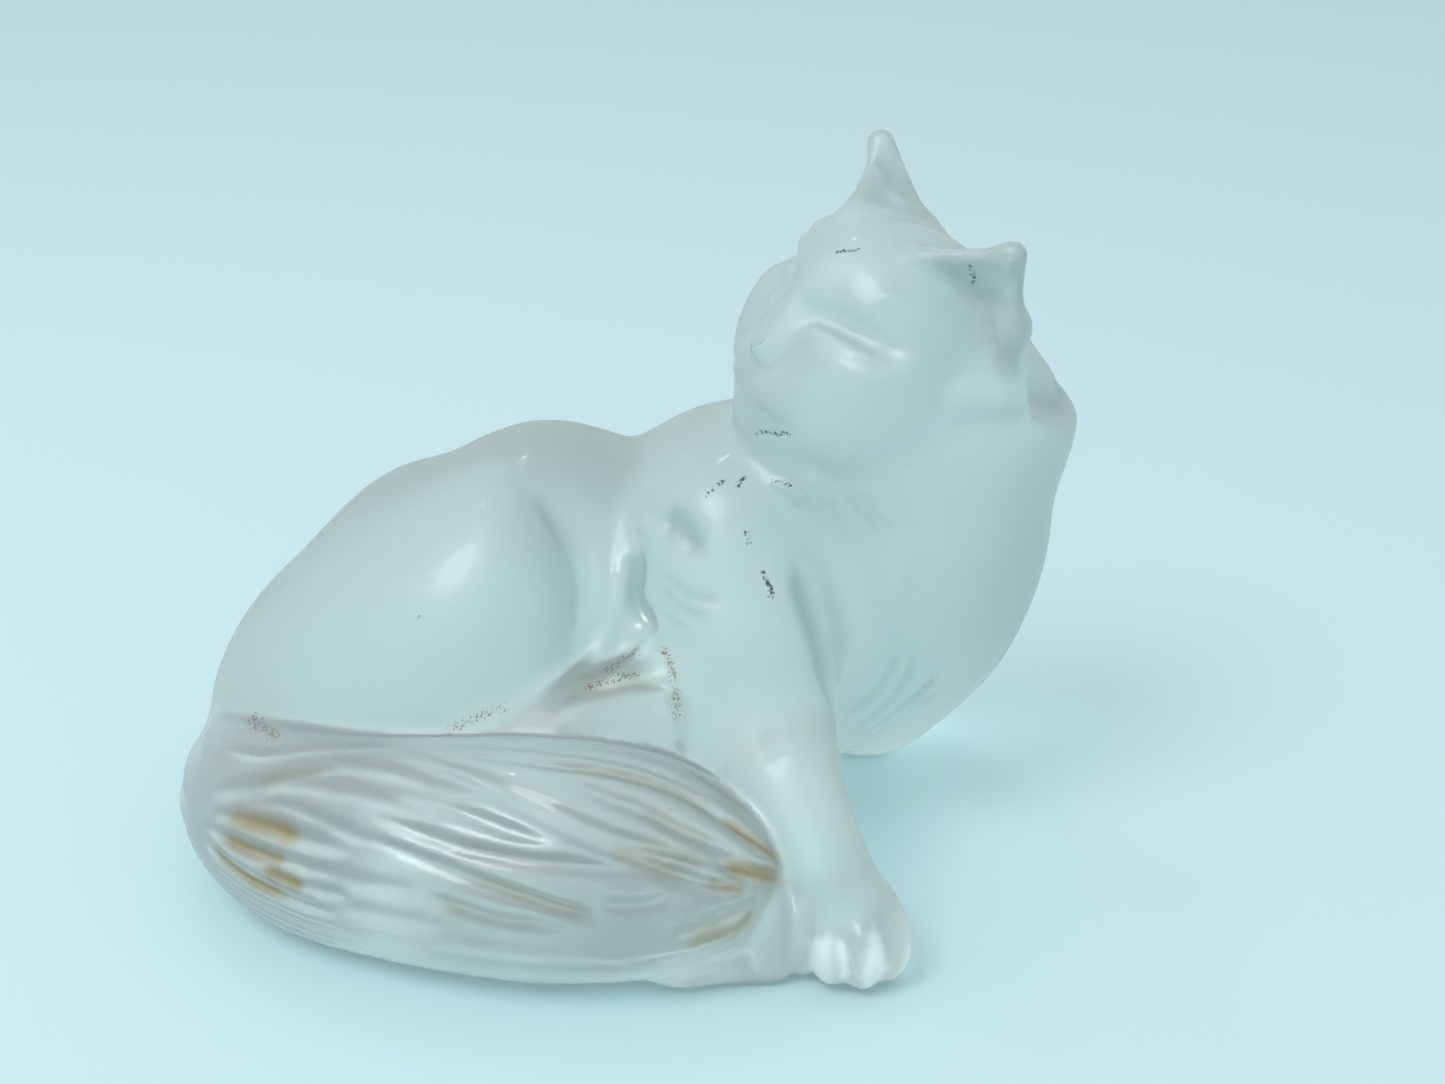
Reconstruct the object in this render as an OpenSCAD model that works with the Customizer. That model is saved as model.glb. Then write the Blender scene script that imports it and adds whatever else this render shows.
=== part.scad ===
// Reclining long-haired cat, a solid figurine in frosted crystal glass.
// The cat lies along X with its chest at +X and its right flank towards -Y.
// Its tail is wrapped round that flank, and its head looks back over the right shoulder.
// The origin is on the table, under the middle of the belly, with Z up.

/* [Overall] */
// Length of the figure, tail bend to ruff (mm)
figure_length = 108; // [97:1:119]
// Depth of the figure, far flank to wrapped tail (mm)
figure_depth = 73; // [66:1:80]
// Height of the figure to the tip of the raised ear (mm)
figure_height = 85; // [76:1:94]

/* [Body] */
// Half width of the belly and rib cage (mm)
barrel_half_width = 20; // [18:0.5:20]
// Half width of the thigh mass on each side (mm)
haunch_half_width = 15; // [13:0.5:17]
// Half width of the fur that hangs down the chest (mm)
bib_half_width = 15; // [13:0.5:17]

/* [Head] */
// Turn of the face away from the chest direction (deg)
head_turn = 210; // [200:1:216]
// Lift of the nose above level (deg)
head_lift = 20; // [10:1:28]
// Tilt of the head towards its left ear (deg)
head_tilt = 13; // [5:1:20]
// Half width of the skull (mm)
skull_half_width = 13.5; // [12.5:0.5:14.5]
// How far the muzzle stands out from the middle of the head (mm)
muzzle_reach = 14; // [13:0.5:15]
// Height of an ear tip above the middle of the head (mm)
ear_reach = 18; // [17:0.5:20]
// Thickness of the rolled rim of an ear (mm)
ear_rim = 2.2; // [1.8:0.1:2.8]

/* [Tail] */
// Thickest radius of the plume (mm)
plume_radius = 13.6; // [13.1:0.1:14.5]
// Radius of the tuft at the end of the tail (mm)
tuft_radius = 4; // [3:0.5:5]
// Distance in front of the belly's middle at which the tuft starts (mm)
tuft_start = 4; // [1:0.5:7]

/* [Legs] */
// Radius of the foreleg at mid length (mm)
foreleg_radius = 7.2; // [6.5:0.1:7.4]
// Half width of the front paw (mm)
paw_half_width = 5.6; // [5:0.1:6.5]

/* [Quality] */
// Number of sides round each rounded form
facets = 16; // [16:2:18]

/* [Hidden] */

// colour of the frosted glass
FROSTED = [0.78, 0.86, 0.86, 0.9];
// colour of the parts that are polished clear
POLISHED = [0.86, 0.92, 0.92, 0.7];

// nominal size of the figure that the places below are given for
NOMINAL = [108, 73, 85];
GROW = [figure_length / NOMINAL.x, figure_depth / NOMINAL.y, figure_height / NOMINAL.z];
// a half space deep and wide enough to cut the figure flat
TABLE = 400;
// middle of the head
HEAD = [30, 6, 64];

// Ellipsoid with its middle at place
module ball(place, radii) {
  translate(place)
    scale(radii)
      sphere(r = 1, $fn = facets);
}

// Value of a list of vectors at a fractional index, on a smooth curve through them
function between(list, t) =
  let (last = len(list) - 1,
       i = min(floor(t), last - 1),
       u = t - i,
       a = list[max(i - 1, 0)],
       b = list[i],
       c = list[i + 1],
       d = list[min(i + 2, last)])
  b + (c - a) * u / 2 + (2 * a - 5 * b + 4 * c - d) * u * u / 2
    + (3 * b - a - 3 * c + d) * u * u * u / 2;

// Rounded limb through ellipsoids; steps is the number of lengths that it is made of
module limb(places, radii, steps = 8) {
  last = len(places) - 1;
  for (k = [0 : steps - 1])
    hull() {
      ball(between(places, k * last / steps), between(radii, k * last / steps));
      ball(between(places, (k + 1) * last / steps), between(radii, (k + 1) * last / steps));
    }
}

// Puts a form that is described in the head's own axes in its place:
// X out of the face, Y towards the left ear, Z up through the crown
module on_head() {
  translate(HEAD)
    rotate([0, 0, head_turn])
      rotate([0, -head_lift, 0])
        rotate([-head_tilt, 0, 0])
          children();
}

// Takes the second and later forms out of the first, and cuts the result flat on the table
module carve() {
  scale(GROW)
    difference() {
      children(0);
      children([1 : $children - 1]);
      translate([-TABLE / 2, -TABLE / 2, -TABLE])
        cube(TABLE);
    }
}

// ---- the full form of each mass, before its neighbours are taken out ----

module barrel_form() {
  limb([[-29, 9, 15], [-12, 12, 22], [1, 12, 20.5], [13, 13, 25], [25, 14, 27]],
       [[16.5, barrel_half_width - 1, 28], [14, barrel_half_width + 2, 28],
        [14, barrel_half_width + 1, 27], [14, barrel_half_width - 2, 27.5],
        [12, barrel_half_width - 4, 19]]);
}

module rump_form() {
  limb([[-39, 11, 12], [-36, 11, 17], [-26, 11, 22]],
       [[14.5, 20, 15], [15.5, 20.5, 20], [15, 21, 26]]);
}

module right_haunch_form() {
  limb([[-34, 0, 14], [-27, -1, 22], [-19, -1, 27], [-15, 0, 30]],
       [[12.5, haunch_half_width - 3, 15.5], [15, haunch_half_width, 21],
        [14, haunch_half_width + 0.5, 20], [11, haunch_half_width - 1, 18]]);
}

module left_haunch_form() {
  limb([[-32, 22, 12], [-24, 21, 18], [-14, 20, 22], [-9, 20, 22]],
       [[13, haunch_half_width - 2, 14.5], [14, haunch_half_width - 1, 18],
        [13, haunch_half_width, 18], [9, haunch_half_width - 2, 15]]);
}

module belly_fur_form() {
  limb([[-16, -13, 11], [-8, -13, 12.5], [0, -11, 13], [7, -9, 14]],
       [[8, 8, 15], [8, 8.5, 15.6], [8, 9, 17.4], [6, 9, 16.2]]);
}

module right_hind_foot_form() {
  limb([[8, -15, 7], [12, -18, 6.5], [16, -22, 6], [18, -26, 5.4]],
       [[5, 5, 6], [5, 5, 6.5], [4.8, 5.5, 6.4], [4.2, 5.4, 5.8]]);
}

module right_shoulder_form() {
  limb([[12, 2, 43], [12.5, 0, 38], [13, -2, 33], [14, -4, 28]],
       [[10, 10, 9], [11, 11, 10], [10.5, 10.5, 9], [8.5, 8.5, 8]]);
}

module right_foreleg_form() {
  limb([[14.5, -6, 30], [16, -11, 23], [19, -18, 16], [22.5, -23.5, 10], [25.5, -26.5, 6.5]],
       [[foreleg_radius + 1.8, foreleg_radius + 1.5, 8], [foreleg_radius + 0.8, foreleg_radius, 8],
        [foreleg_radius - 0.7, foreleg_radius - 0.7, 7], [foreleg_radius - 1.6, 5.6, 6],
        [foreleg_radius - 1.8, 5.2, 5]]);
}

module right_front_paw_form() {
  limb([[24.5, -23.5, 5], [26, -26.5, 5.2], [27, -28.5, 4.6]],
       [[paw_half_width - 0.4, 5, 5.4], [paw_half_width, 5.5, 6], [paw_half_width - 0.8, 4.8, 5]]);
}

module chest_bib_form() {
  limb([[33, 9, 46], [33.5, 10, 38], [32.5, 13, 28], [31, 19, 17], [29.5, 24, 8.6]],
       [[17, bib_half_width, 12], [17, bib_half_width + 1, 14], [16, bib_half_width, 14],
        [13.5, bib_half_width - 2, 10.5], [10.5, bib_half_width - 5, 8.6]]);
}

module neck_ruff_form() {
  limb([[27, 7, 52], [32.5, 9, 52.5], [39.5, 11, 53]],
       [[14, 14, 9], [16, 14.5, 10.5], [13.6, 13, 9]]);
}

module skull_form() {
  on_head()
    limb([[-5, 0, -2.5], [-1, 0, -0.5], [4, 0, 0], [7.5, 0, -1.5]],
         [[12.5, skull_half_width - 0.5, 12], [13, skull_half_width, 13.2],
          [10, skull_half_width - 0.5, 12.5], [7.5, skull_half_width - 1, 10]]);
}

module muzzle_form() {
  on_head()
    limb([[7, 0, -11], [9.5, 0, -10], [muzzle_reach - 2, 0, -8], [muzzle_reach, 0, -5.6]],
         [[7, 9, 6], [5.5, 7.5, 6.2], [4.4, 6, 5.4], [3, 4.4, 3.8]]);
}

// side is 1 for the left ear and -1 for the right ear
module ear_form(side) {
  tip = [1.7, 14 * side, ear_reach];
  inner_foot = [4, 6.5 * side, 9.5];
  outer_foot = [-4, 13 * side, 3.5];
  back_foot = [-5.5, 8 * side, 8];
  feet = [inner_foot, outer_foot, back_foot];
  cup_shift = [4.2, 1.2 * side, 0];
  on_head()
    difference() {
      for (pair = [[0, 1], [1, 2], [2, 0]])
        hull() {
          ball(feet[pair[0]], [ear_rim, ear_rim, ear_rim]);
          ball(feet[pair[1]], [ear_rim, ear_rim, ear_rim]);
          ball((feet[0] + feet[1] + feet[2]) / 3, [ear_rim, ear_rim, ear_rim]);
          ball(tip, [ear_rim / 2, ear_rim / 2, ear_rim / 2]);
        }
      for (depth = [0 : 5])
        hull() {
          ball(inner_foot + cup_shift + [depth, 0, 0], [2.6, 2, 2]);
          ball(outer_foot + cup_shift + [depth, 0, 0], [2.6, 2, 2]);
          ball(tip + cup_shift * 0.9 - [0, 0, 2.4], [2, 1, 1]);
        }
    }
}

module tail_root_form() {
  limb([[-36, 20, 6], [-41, 14, 7.5], [-43.5, 7, 9]],
       [[7, 7, 6.5], [8.5, 8.5, 8], [10, 9.5, 9.6]]);
}

module tail_form() {
  limb([[-43.8, 6, 9.2], [-42, -5, 9.8], [-34.5, -15, 11], [-22, -21, 12],
        [-10, -24, 12.6], [-2, -24.5, 12.4], [3, -24.7, 12], [8, -25, 11.2],
        [12, -25.4, 10.6], [14.2, -26, 10.4]],
       [[9.8, 9.8, 9.6], [12, 12, 11], [13, 13, 12.4], [13.4, 13.4, 13.2],
        [plume_radius, plume_radius, plume_radius + 0.2], [12.8, 13, 13.2], [12, 12, 12.1],
        [9.4, 9.4, 9.8], [5.6, 5.6, 7], [tuft_radius - 1, tuft_radius, tuft_radius + 0.4]], 14);
}

// Everything on one side of the line where the tuft starts: 1 in front of it, -1 behind it
module tuft_side(side) {
  translate([tuft_start + side * TABLE / 2, 0, 0])
    cube([TABLE, TABLE, TABLE], center = true);
}

// ---- the masses as they meet in the casting ----

module tail_plume() {
  color(FROSTED)
    carve() {
      tail_form();
      tuft_side(1);
    }
}

module tail_root() {
  color(FROSTED)
    carve() {
      tail_root_form();
      tail_form();
    }
}

module tail_tuft() {
  color(FROSTED)
    carve() {
      tail_form();
      tuft_side(-1);
      right_front_paw_form();
    }
}

module right_front_paw() {
  color(POLISHED)
    carve() {
      right_front_paw_form();
    }
}

module right_hind_foot() {
  color(POLISHED)
    carve() {
      right_hind_foot_form();
      tail_form();
      right_front_paw_form();
    }
}

module right_foreleg() {
  color(FROSTED)
    carve() {
      right_foreleg_form();
      tail_form();
      right_front_paw_form();
      right_hind_foot_form();
    }
}

module right_haunch() {
  color(FROSTED)
    carve() {
      right_haunch_form();
      tail_form();
      tail_root_form();
    }
}

module left_haunch() {
  color(FROSTED)
    carve() {
      left_haunch_form();
      tail_root_form();
      right_haunch_form();
    }
}

module right_ear() {
  color(FROSTED)
    carve() {
      ear_form(-1);
      skull_form();
    }
}

module left_ear() {
  color(FROSTED)
    carve() {
      ear_form(1);
      skull_form();
    }
}

module skull() {
  color(FROSTED)
    carve() {
      skull_form();
    }
}

module muzzle() {
  color(FROSTED)
    carve() {
      muzzle_form();
      skull_form();
    }
}

module neck_ruff() {
  color(FROSTED)
    carve() {
      neck_ruff_form();
      skull_form();
      muzzle_form();
      ear_form(1);
    }
}

module right_shoulder() {
  color(FROSTED)
    carve() {
      right_shoulder_form();
      right_foreleg_form();
      neck_ruff_form();
      muzzle_form();
      skull_form();
    }
}

module chest_bib() {
  color(FROSTED)
    carve() {
      chest_bib_form();
      right_foreleg_form();
      right_shoulder_form();
      neck_ruff_form();
      skull_form();
    }
}

module torso() {
  color(FROSTED)
    carve() {
      barrel_form();
      right_haunch_form();
      left_haunch_form();
      tail_form();
      tail_root_form();
      right_foreleg_form();
      right_hind_foot_form();
      right_shoulder_form();
      chest_bib_form();
      neck_ruff_form();
      skull_form();
      muzzle_form();
    }
}

module rump() {
  color(FROSTED)
    carve() {
      rump_form();
      barrel_form();
      right_haunch_form();
      left_haunch_form();
      tail_form();
      tail_root_form();
    }
}

module belly_fur() {
  color(FROSTED)
    carve() {
      belly_fur_form();
      barrel_form();
      right_haunch_form();
      tail_form();
      right_foreleg_form();
      right_shoulder_form();
      right_hind_foot_form();
    }
}

torso();
rump();
right_haunch();
left_haunch();
belly_fur();
right_hind_foot();
right_shoulder();
right_foreleg();
right_front_paw();
chest_bib();
neck_ruff();
skull();
muzzle();
right_ear();
left_ear();
tail_root();
tail_plume();
tail_tuft();
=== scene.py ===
import math
import bpy
import numpy as np
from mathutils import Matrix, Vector


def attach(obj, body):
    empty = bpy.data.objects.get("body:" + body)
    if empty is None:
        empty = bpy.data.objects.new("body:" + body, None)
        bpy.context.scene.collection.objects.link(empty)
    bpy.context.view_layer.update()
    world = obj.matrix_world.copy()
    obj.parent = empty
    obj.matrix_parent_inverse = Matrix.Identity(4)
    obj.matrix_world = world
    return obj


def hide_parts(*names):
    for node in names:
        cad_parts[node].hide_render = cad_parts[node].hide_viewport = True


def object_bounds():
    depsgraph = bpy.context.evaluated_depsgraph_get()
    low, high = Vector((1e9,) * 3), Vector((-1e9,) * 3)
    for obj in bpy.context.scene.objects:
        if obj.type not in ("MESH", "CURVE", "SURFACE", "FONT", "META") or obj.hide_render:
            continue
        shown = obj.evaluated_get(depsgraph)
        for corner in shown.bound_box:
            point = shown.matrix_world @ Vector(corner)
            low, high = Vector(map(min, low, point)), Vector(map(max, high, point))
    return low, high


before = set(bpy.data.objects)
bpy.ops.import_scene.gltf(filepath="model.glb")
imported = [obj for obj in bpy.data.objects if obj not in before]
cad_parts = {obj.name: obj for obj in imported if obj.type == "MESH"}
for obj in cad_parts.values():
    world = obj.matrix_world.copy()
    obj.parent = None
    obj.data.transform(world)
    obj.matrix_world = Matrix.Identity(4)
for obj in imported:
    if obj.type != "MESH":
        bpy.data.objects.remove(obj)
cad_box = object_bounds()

# ---------------------------------------------------------------------------------------
# The view: a hand's height above the table, looking a little down on the cat's right side,
# through a 55 mm lens about 27 cm away.
# ---------------------------------------------------------------------------------------
LOOK_DOWN = math.radians(24)
LOOK_AT = Vector((0.0110, 0.0115, 0.0355))
LENS_DISTANCE = 0.269

lens = bpy.data.cameras.new("table_view")
lens.lens = 55
lens.sensor_width = 36
lens.clip_start = 0.01
viewer = bpy.data.objects.new("table_view", lens)
bpy.context.scene.collection.objects.link(viewer)
viewer.location = LOOK_AT + LENS_DISTANCE * Vector((0, -math.cos(LOOK_DOWN), math.sin(LOOK_DOWN)))
viewer.rotation_euler = (math.pi / 2 - LOOK_DOWN, 0, 0)
bpy.context.scene.camera = viewer

# ---------------------------------------------------------------------------------------
# The body: rib cage, rump and the two folded thighs, modelled in the mould as soft masses
# that run into each other. All forms are in millimetres, in the frame of the CAD model,
# and each row of a limb is the middle and the three radii of an ellipsoid it passes through.
# ---------------------------------------------------------------------------------------
FAR_AWAY = 60.0


def smooth_path(stations, steps):
    """Rows on a smooth curve through the stations."""
    rows = np.asarray(stations, float)
    rows = np.vstack([rows[:1], rows, rows[-1:]])
    path = []
    for t in np.linspace(0, len(rows) - 3, steps + 1):
        i = min(int(t), len(rows) - 4)
        u = t - i
        a, b, c, d = rows[i:i + 4]
        path.append(b + (c - a) * u / 2 + (2 * a - 5 * b + 4 * c - d) * u ** 2 / 2
                    + (3 * b - a - 3 * c + d) * u ** 3 / 2)
    return np.array(path)


def join(a, b, blend):
    """Union of two forms, with the crease between them filled over a width of blend."""
    h = np.maximum(blend - np.abs(a - b), 0) / blend
    return np.minimum(a, b) - h * h * blend / 4


def lump(p, middle, radii):
    """Distance from points to an ellipsoid."""
    q = p - np.asarray(middle, np.float32)
    r = np.asarray(radii, np.float32)
    k0 = np.sqrt(((q / r) ** 2).sum(1)) + 1e-6
    k1 = np.sqrt(((q / r ** 2) ** 2).sum(1)) + 1e-6
    return k0 * (k0 - 1) / k1


def limb(p, stations, steps=20, blend=1.0, margin=8.0):
    """Distance from points to a rounded limb."""
    rows = smooth_path(stations, steps)
    low = (rows[:, :3] - rows[:, 3:]).min(0) - margin
    high = (rows[:, :3] + rows[:, 3:]).max(0) + margin
    near = np.all((p > low) & (p < high), axis=1)
    out = np.full(len(p), FAR_AWAY, np.float32)
    if near.any():
        d = np.full(near.sum(), FAR_AWAY, np.float32)
        for row in rows:
            d = join(d, lump(p[near], row[:3], row[3:]), blend)
        # the blends swell the limb a little, and this takes that off again
        out[near] = d + 0.4 * blend
    return out


RIB_CAGE = [[-28, 10, 17, 14.5, 18.5, 25], [-12, 12, 22, 14, 21.5, 28.3], [1, 12, 20.5, 14, 20.5, 27.5],
            [13, 13, 26, 14, 18, 27], [25, 14, 27, 12, 16, 19]]
RUMP = [[-39, 11, 12, 14, 19.5, 14.5], [-35.5, 11, 16, 14.6, 19.5, 17.6], [-25, 11, 21, 14.2, 20, 24.2]]
RIGHT_THIGH = [[-33.5, 0, 14, 12.2, 12, 14.5], [-26.3, -1, 21, 14, 14.5, 19],
               [-19, -1, 26.5, 13.7, 15.3, 19.2], [-15, 0, 30, 11, 14, 18]]
LEFT_THIGH = [[-31.5, 22, 12, 12.5, 12.5, 13.5], [-24, 21, 17.5, 13.4, 13.4, 17],
              [-14, 20, 22, 13, 15, 18], [-9, 20, 22, 9, 13, 15]]
BELLY_FUR = [[-16, -13, 11, 8, 8, 15], [-8, -13, 12.5, 8, 8.5, 15.6], [0, -11, 13, 8, 9, 17.4],
             [7, -9, 14, 6, 9, 16.2]]


def body_form(p):
    d = join(limb(p, RIB_CAGE), limb(p, RUMP), 3)
    d = join(d, limb(p, LEFT_THIGH), 4)
    # the thigh runs smoothly into the rump, and stands out crisply over the waist
    thigh_blend = np.clip(2.2 - 0.2 * (p[:, 0] + 12), 2.2, 5)
    d = join(d, limb(p, RIGHT_THIGH), thigh_blend)
    return join(d, limb(p, BELLY_FUR), 3.5)


# ---------------------------------------------------------------------------------------
# The legs that show: the right foreleg reaches forward past the end of the tail, and the
# toes of the right hind foot come out between that end and the front paw.
# ---------------------------------------------------------------------------------------
SHOULDER = [[12, 2, 43, 10, 10, 9], [12.5, 0, 38, 11, 11, 10], [13, -2, 33, 10.5, 10.5, 9],
            [14, -4, 28, 8.5, 8.5, 8]]
FORELEG = [[14.5, -6, 30, 9, 8.7, 8], [16, -11, 23, 8, 7.2, 8], [19, -18, 16, 6.5, 6.5, 7],
           [22.5, -23.5, 10, 5.6, 5.6, 6], [25.5, -26.5, 6.5, 5.4, 5.2, 5]]
FRONT_PAW = [[23.5, -23, 5, 5, 5, 5.6], [25.6, -26.5, 5.4, 5.8, 5.6, 6]]
FRONT_TOES = [[23.2, -28.6, 4.6, 2.9, 4.4, 4.6], [26.4, -29.6, 4.8, 2.9, 4.2, 4.8],
              [29.2, -28.2, 4.6, 2.8, 4.2, 4.4]]
HIND_FOOT = [[8, -15, 7, 5, 5, 6], [12, -18, 6.5, 5, 5, 6.5], [16, -22, 6, 4.8, 5.5, 6.4]]
HIND_TOES = [[16.6, -26.4, 5.4, 3.2, 5, 6], [20, -26, 5.2, 2.6, 5, 5.8]]
HEEL_WEB = [[6, -27, 2.5, 5, 5.8, 3.4], [11, -27.5, 2.5, 4.5, 4, 3.4], [16, -27, 2.5, 4, 4, 4]]


def toes(p, foot, toe_rows, gap):
    """A paw: the foot with its toes, and a cleft as wide as gap between each two toes."""
    d = limb(p, foot, 8)
    for row in toe_rows:
        d = join(d, lump(p, row[:3], row[3:]), gap)
    return d


def leg_form(p):
    return join(limb(p, SHOULDER), limb(p, FORELEG), 6)


def paw_form(p):
    paws = join(toes(p, FRONT_PAW, FRONT_TOES, 1.0), toes(p, HIND_FOOT, HIND_TOES, 1.0), 0.6)
    return join(paws, limb(p, HEEL_WEB, 8), 1.0)


# ---------------------------------------------------------------------------------------
# The mane: a deep bib of fur down the chest, and a ruff that stands out behind the cheeks.
# Both are thick soft rolls of wax that run into the neck.
# ---------------------------------------------------------------------------------------
BIB = [[33, 9, 46, 17, 15, 12], [33.5, 10, 38, 17, 16, 14], [32.5, 13, 28, 16, 15, 14],
       [31, 19, 17, 13.5, 13, 10.5], [29.5, 24, 8.6, 10.5, 10, 8.6]]
RUFF = [[27, 7, 52, 14, 14, 9], [32.5, 9, 52.3, 16, 14.5, 10.2], [39.3, 11, 52.2, 13.5, 13, 8.4]]
NAPE = [[34.2, 8, 61, 9, 11, 8], [38, 10, 55, 10, 12, 8]]


def mane_form(p):
    return join(join(limb(p, BIB), limb(p, RUFF), 6), limb(p, NAPE, 6), 5)


# ---------------------------------------------------------------------------------------
# The head: turned right back over the shoulder, nose lifted, tilted to the left ear, with
# closed slanting eyes. Its rows are in the head's own axes: out of the face, towards the
# left ear, and up. The face is the same on both sides.
# ---------------------------------------------------------------------------------------
HEAD_MIDDLE = np.array([30.0, 6.0, 64.0])
HEAD_TURN = math.radians(210)
HEAD_LIFT = math.radians(20)
HEAD_TILT = math.radians(13)

face_way = np.array([math.cos(HEAD_LIFT) * math.cos(HEAD_TURN),
                     math.cos(HEAD_LIFT) * math.sin(HEAD_TURN), math.sin(HEAD_LIFT)])
level_left = np.array([-math.sin(HEAD_TURN), math.cos(HEAD_TURN), 0])
left_way = (math.cos(HEAD_TILT) * level_left
            - math.sin(HEAD_TILT) * np.cross(face_way, level_left))
head_axes = np.stack([face_way, left_way, np.cross(face_way, left_way)])


def in_head(p):
    return ((p - HEAD_MIDDLE) @ head_axes.T).astype(np.float32)


def hollow(a, b, blend):
    """Form a with form b taken out of it."""
    return -join(-a, b, blend)


def stroke(p, points, width, depth, steps=8):
    """Height of a groove (or a ridge, where depth is negative) drawn along a curved line."""
    path = smooth_path(points, steps)
    low = path.min(0) - 3 * width
    high = path.max(0) + 3 * width
    near = np.all((p > low) & (p < high), axis=1)
    out = np.zeros(len(p), np.float32)
    if not near.any():
        return out
    q = p[near]
    best = np.full(len(q), FAR_AWAY, np.float32)
    along = np.zeros(len(q), np.float32)
    for i in range(steps):
        a = path[i].astype(np.float32)
        b = (path[i + 1] - path[i]).astype(np.float32)
        t = np.clip(((q - a) @ b) / (b @ b), 0, 1)
        d = np.linalg.norm(q - a - t[:, None] * b, axis=1)
        nearer = d < best
        best[nearer] = d[nearer]
        along[nearer] = (i + t[nearer]) / steps
    # both ends run out shallow and narrow
    fade = np.clip(np.minimum(along, 1 - along) * 4 + 0.25, 0, 1)
    out[near] = depth * fade * np.exp(-(best / (width * (0.4 + 0.6 * fade))) ** 2)
    return out


def sheet(p, a, b, c):
    """Distance from points to a flat triangle."""
    a, b, c = (np.asarray(v, np.float32) for v in (a, b, c))
    normal = np.cross(b - a, a - c)
    inside = np.ones(len(p), bool)
    edge = np.full(len(p), FAR_AWAY ** 2, np.float32)
    for v, w in ((a, b), (b, c), (c, a)):
        side = w - v
        q = p - v
        inside &= (q @ np.cross(side, normal)) > 0
        t = np.clip((q @ side) / (side @ side), 0, 1)
        edge = np.minimum(edge, ((q - t[:, None] * side) ** 2).sum(1))
    flat = ((p - a) @ normal) ** 2 / (normal @ normal)
    return np.sqrt(np.where(inside, flat, edge))


SKULL = [[-5, 0, -2.5, 12.5, 13, 12], [-1, 0, -0.5, 13, 13.5, 13.2], [4, 0, 0, 10, 13, 12],
         [7, 0, -1.5, 7.2, 12, 9.6]]
JAW = [[6, 0, -10.5, 6.6, 9.5, 6.5], [9.4, 0, -12.7, 4.6, 6.8, 5.0]]
BRIDGE = [[10.2, 0, 4.8, 3.2, 3.2, 3.4], [12.3, 0, 1.4, 2.3, 2.2, 2.5], [14.6, 0, -3.4, 1.9, 2.1, 2]]
SOCKET = [[15.3, 2.2, 2.0, 1.7, 1.6, 1.6], [13.7, 5.2, 2.1, 2.2, 2.1, 1.7],
          [11.7, 9.0, 2.6, 2.2, 2.2, 1.7], [9.0, 12.0, 3.1, 1.7, 1.7, 1.3]]
# marks on each side of the face: the shut eye, the fold over it, the line of the mouth
FACE_MARKS = [
    ([(14.2, 4.4, -1.8), (13.6, 4.4, 0.0), (12.6, 6.0, 0.7), (11.3, 8.6, 0.8),
      (9.6, 11, 1.4)], 0.7, -0.42),
    ([(11.2, 8.6, 2.7), (10.2, 10.2, 2.9), (8.8, 11.4, 3.2)], 0.9, -0.3),
    ([(11.4, 7.0, 5.2), (10.2, 8.4, 6.2), (9.2, 8.8, 8.2), (8.2, 9, 10)], 0.6, -0.6),
    ([(10.4, 8.2, 6.9), (9.3, 9.8, 6.0), (8.0, 11.2, 5.2)], 0.6, 0.45),
    ([(16.2, 0.2, -10), (14.8, 3.0, -11.0), (12.6, 5.6, -10.8)], 0.6, 0.3),
    ([(16.8, 1.1, -5.2), (15.8, 2.3, -5.0)], 0.4, 0.3)]
# hair in the near ear, which is the only one that is cut with it
EAR_HAIR = [
    ([(3.4, 11.2, 4.6), (1.2, 12.2, 5.6), (-1.6, 12.2, 7.2), (-3, 12.4, 9)], 0.6, 0.8),
    ([(3.0, 12.2, 3.0), (0.8, 12.9, 4.0), (-1.6, 13, 5.4), (-3.6, 13, 7.2)], 0.6, 0.8),
    ([(1.6, 13.4, 1.6), (-0.6, 13.8, 2.6), (-3, 14, 3.8)], 0.6, 0.7),
    ([(3.6, 9.8, 7.4), (1.4, 10.6, 9), (0, 11.4, 11)], 0.6, 0.6)]


def face_form(q):
    m = q.copy()
    m[:, 1] = np.abs(m[:, 1])
    d = join(limb(q, SKULL), limb(q, JAW, 8), 4)
    d = join(d, lump(q, (6.0, 0, 4.5), (6.6, 9.4, 7.4)), 3)
    d = join(d, lump(q, (8.2, 0, -6.4), (6.0, 7.4, 8.0)), 3)
    d = join(d, lump(m, (4.5, 9, -6), (7.5, 5.5, 8)), 5)
    d = join(d, lump(m, (7.0, 9.0, -1.6), (3.6, 3.4, 2.8)), 2.0)
    d = hollow(d, limb(m, SOCKET, 10), 2.4)
    d = join(d, limb(q, BRIDGE, 8), 2.4)
    d = join(d, lump(m, (11.9, 2.8, -8.3), (3.2, 3.2, 3.4)), 2.4)
    d = join(d, lump(q, (15.0, 0, -4.8), (1.6, 2.2, 1.5)), 1.2)
    d += stroke(m, [(16.8, 0, -6.0), (15.8, 0, -9.8)], 0.5, 0.4)
    for points, width, depth in FACE_MARKS:
        d += stroke(m, points, width, depth)
    return d


# each ear is a cupped shell between its feet on the skull, a point on its rim, and its tip
NEAR_EAR = dict(front=(6, 5.2, 11.4), back=(-5, 7, 9), outer=(-7.2, 13.4, 1.6), rim=(-4.2, 13.7, 9.4),
                tip=(0.5, 13.3, 17.1), low=(-2, 13.4, -0.2))
FAR_EAR = dict(front=(7.2, 5.6, 10.2), back=(-3.4, 7.6, 10), outer=(-2.5, 13.6, 2), rim=(-0.2, 13.8, 10),
               tip=(3.9, 11.8, 17.9), low=(1.5, 12.4, 1))


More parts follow.
